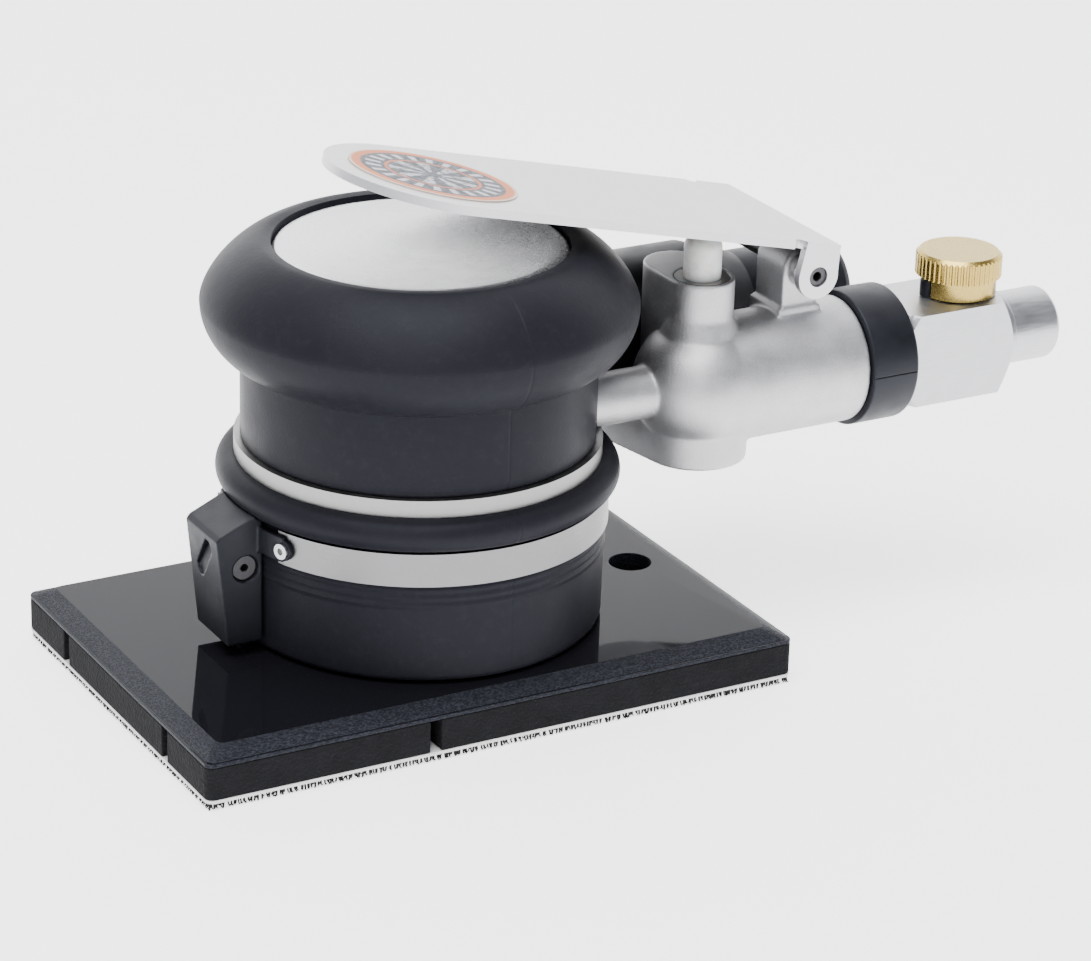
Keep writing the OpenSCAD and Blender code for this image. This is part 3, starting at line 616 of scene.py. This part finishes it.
# %% Spin the bumper
low, high = (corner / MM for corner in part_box("bumper_ring"))
SPIGOT_R = 29.05
half = (high.z - low.z) / 2
outer_half = arc((high.x - half, (low.z + high.z) / 2), half, -90, 90, 28)
bumper_outline = [(SPIGOT_R, low.z), *outer_half, (SPIGOT_R, high.z)]
adopt(lathe("bumper_moulding", bumper_outline, 180, SEAMS, 0.07), "bumper_ring")

# %% Spin the skirt
low, high = (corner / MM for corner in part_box("skirt"))
band_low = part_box("clamp_band")[0] / MM
SKIRT_R = 32.0
RIB = 0.28
RIB_WIDTH = 0.32
RIBS_UNDER_BAND = (0.9, 2.3, 3.7)
SLACK = 0.16


def ribs(turn, r, h):
    """Faint ribs under the band, and a slight waviness of the free lower lip."""
    if r < SKIRT_R - 0.8:
        return 0
    under = band_low.z - h
    rib = sum(RIB * math.exp(-((under - at) / RIB_WIDTH) ** 2) for at in RIBS_UNDER_BAND)
    slack = max(0, (band_low.z - 6 - h) / 12)
    return rib + SLACK * slack * math.sin(math.radians(3 * turn + 20))


wall = [(SKIRT_R, low.z + 0.7 + i * (high.z - low.z - 1.0) / 60) for i in range(61)]
hem = [(SPIGOT_R, low.z), (SKIRT_R - 0.6, low.z), (SKIRT_R - 0.15, low.z + 0.2)]
skirt_outline = [*hem, *wall, (SPIGOT_R, high.z)]
adopt(lathe("skirt_moulding", skirt_outline, 200, SEAMS, 0.06, ribs), "skirt")

# %% [markdown]
# ## Cap, collar and throttle pin
# The cap is a shallow blasted dome with a softly broken rim. The collar's two halves meet at the sides.

# %% Spin the cap
cap_r = cap_high.x
CROWN = 0.45
CAP_SEAT_R = 23.9
cap_seat = cap_low.z + 1.2
dome = [(cap_r * out, cap_high.z - CROWN * out ** 2) for out in (1 - i / 24 for i in range(2, 24))]
cap_outline = [(0.0, cap_low.z), (CAP_SEAT_R, cap_low.z), (CAP_SEAT_R, cap_seat), (cap_r, cap_seat),
               (cap_r, cap_high.z - 1.5), (cap_r - 0.2, cap_high.z - 0.95), (cap_r - 0.75, cap_high.z - 0.55),
               *dome, (0.0, cap_high.z)]
cap = lathe("cap_turned", cap_outline, 180)
cap.data.set_sharp_from_angle(angle=math.radians(40))
adopt(cap, "top_cap")


# %% Spin the collar, then lay it along the air line
def lay_along_x(piece, start, y, z):
    """Turns a piece spun round Z so that its axis runs along X from start, in millimetres."""
    turn = Matrix(((0, 0, 1), (1, 0, 0), (0, 1, 0))).to_4x4()
    piece.data.transform(Matrix.Translation(Vector((start, y, z)) * MM) @ turn)
    return piece


low, high = (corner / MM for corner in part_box("inlet_collar"))
width = high.x - low.x
collar_r = (high.z - low.z) / 2
COLLAR_BORE = 8.62
collar_outline = rounded([(COLLAR_BORE, 0), (collar_r, 0), (collar_r, width), (COLLAR_BORE, width)],
                         [0.2, 0.45, 0.7, 0.2])
collar = lathe("collar_moulding", collar_outline, 160, (0, 180), 0.16)
adopt(lay_along_x(collar, low.x, line.y, line.z), "inlet_collar")

# %% Spin the throttle pin
low, high = (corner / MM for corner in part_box("push_pin"))
pin_r = (high.x - low.x) / 2
pin_outline = [(0.0, low.z), (pin_r - 0.3, low.z), (pin_r, low.z + 0.3),
               *arc((0, high.z - pin_r), pin_r, 0, 90, 16)[:-1], (0.0, high.z)]
pin = lathe("pin_turned", pin_outline, 72)
pin.data.transform(Matrix.Translation(Vector(((low.x + high.x) / 2, (low.y + high.y) / 2, 0)) * MM))
adopt(pin, "push_pin")

# %% [markdown]
# ## Hooks
# The pad's face is moulded hook tape: thousands of dark nylon canes that bend over at the tip. Each is
# a thin tube of five rings, standing on the white backing with its tip towards the work. They are
# planted in rows with a little disorder, all in one mesh.

# %% Plant the hooks
low, high = (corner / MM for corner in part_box("hook_pile"))
PITCH = 1.15
EDGE_PITCH = 0.62                # closer along the rim, where the pile is seen from the side
JITTER = 0.22
STALK = 0.17
SIDES = 4
LEVELS = 5
rng = random.Random(7)


def cane(x, y, lean, heading, tall):
    """Rings of points of one hook, from its foot in the backing to its bent tip."""
    route = [(0, high.z + 0.1), (0.02, high.z - 0.45 * tall), (0.10, high.z - 0.82 * tall),
             (0.34, high.z - 0.98 * tall), (0.52, high.z - 0.72 * tall)]
    away = Vector((math.cos(heading), math.sin(heading)))
    aside = Vector((-away.y, away.x))
    rings = []
    for i, (out, z) in enumerate(route):
        thick = STALK * (1.25 - 0.14 * i)
        middle = Vector((x, y)) + away * (out + lean * (high.z - z))
        square = [(1, 0), (0, 1), (-1, 0), (0, -1)]
        rings.append([(*(middle + away * (thick * a) * (1 if i < 3 else 0.5) + aside * thick * b),
                       max(low.z + 0.01, z + (thick * a * 0.8 if i >= 3 else 0))) for a, b in square])
    return rings


points, faces = [], []


def plant(x, y, lean, heading, tall):
    """Adds one cane to the mesh, kept inside the pile's outline."""
    start = len(points)
    for ring in cane(x, y, lean, heading, tall * (high.z - low.z)):
        points.extend((min(max(a, low.x), high.x), min(max(b, low.y), high.y), c) for a, b, c in ring)
    for k in range(LEVELS - 1):
        a, b = start + k * SIDES, start + (k + 1) * SIDES
        faces.extend((a + s, a + (s + 1) % SIDES, b + (s + 1) % SIDES, b + s) for s in range(SIDES))
    tip = start + (LEVELS - 1) * SIDES
    faces.extend([tuple(range(start + SIDES - 1, start - 1, -1)), tuple(range(tip, tip + SIDES))])


columns = int((high.x - low.x) / PITCH)
rows = int((high.y - low.y) / PITCH)
for i in range(columns):
    for j in range(rows):
        step = i + 0.5 * (j % 2)
        x = low.x + 0.6 + step * (high.x - low.x - 1.8) / (columns - 1) + rng.uniform(-JITTER, JITTER)
        y = low.y + 0.55 + j * (high.y - low.y - 1.1) / (rows - 1) + rng.uniform(-JITTER, JITTER)
        heading = math.radians(90 * rng.randint(0, 3) + rng.uniform(-35, 35))
        plant(x, y, rng.uniform(-0.2, 0.3), heading, rng.uniform(0.72, 1.12))
for sign in (-1, 1):
    for side_of, long, wide in (("x", high.x - low.x, high.y - low.y), ("y", high.y - low.y, high.x - low.x)):
        for i in range(int(long / EDGE_PITCH)):
            run = (i + rng.uniform(0.2, 0.8)) * EDGE_PITCH - long / 2
            off = sign * (wide / 2 - rng.uniform(0.25, 0.5))
            x, y = (run, off) if side_of == "x" else (off, run)
            outward = math.atan2(sign, 0) if side_of == "x" else math.atan2(0, sign)
            plant((low.x + high.x) / 2 + x, (low.y + high.y) / 2 + y, rng.uniform(-0.1, 0.15),
                  outward + rng.uniform(-0.9, 0.9), rng.uniform(0.8, 1.0))
mesh = bpy.data.meshes.new("hooks")
mesh.from_pydata((np.array(points) * MM).tolist(), [], faces)
mesh.shade_smooth()
hooks = bpy.data.objects.new("hooks", mesh)
bpy.context.scene.collection.objects.link(hooks)
adopt(hooks, "hook_pile")
print(len(points) // (LEVELS * SIDES), "hooks")

# %% [markdown]
# ## Studio
# A plain pale floor that glows a little and curves up into a backdrop, a large soft light overhead and a
# weaker one in front: the glossy plate needs something large and pale to reflect.

# %% Floor and backdrop
paper = Finish("paper", (0.93, 0.93, 0.93), 0.9, Emission_Color=(1, 1, 1, 1), Emission_Strength=1.7)
paper.set("Base Color", paper.blend(paper.noise(40, 3), (0.92, 0.92, 0.92), (0.94, 0.94, 0.94)))
work = bmesh.new()
BEND_AT = 0.7
BEND = 0.5
turns = np.linspace(0.1, math.pi / 2, 14)
rising = [(BEND_AT + BEND * math.sin(t), BEND - BEND * math.cos(t)) for t in turns]
SWEEP = [(-1.6, 0), (BEND_AT, 0), *rising, (BEND_AT + BEND, 2.0)]
ahead = Vector((-back.x, -back.y)).normalized()
across_floor = Vector((-ahead.y, ahead.x))
strips = [[work.verts.new((*(ahead * depth + across_floor * wide), height)) for depth, height in SWEEP]
          for wide in (-2.2, 2.2)]
for i in range(len(SWEEP) - 1):
    work.faces.new((strips[0][i], strips[0][i + 1], strips[1][i + 1], strips[1][i]))
floor = new_object("floor", work)
floor.data.materials.append(paper.material)


# %% Lights
AIM = Vector((0.02, 0, 0.04))


def soft_light(name, power, size, place):
    lamp = bpy.data.lights.new(name, "AREA")
    lamp.shape = "RECTANGLE"
    lamp.size, lamp.size_y = size
    lamp.energy = power
    made = bpy.data.objects.new(name, lamp)
    made.location = place
    made.rotation_euler = (AIM - Vector(place)).to_track_quat("-Z", "Y").to_euler()
    bpy.context.scene.collection.objects.link(made)


soft_light("overhead", 19, (0.8, 0.8), (-0.15, -0.15, 1.0))
soft_light("front", 3.5, (0.7, 0.5), (-0.60, -0.80, 0.85))
world = bpy.data.worlds.new("studio")
world.use_nodes = True
world.node_tree.nodes["Background"].inputs["Color"].default_value = (0.90, 0.93, 1, 1)
world.node_tree.nodes["Background"].inputs["Strength"].default_value = 0.45
bpy.context.scene.world = world
print("studio ready")
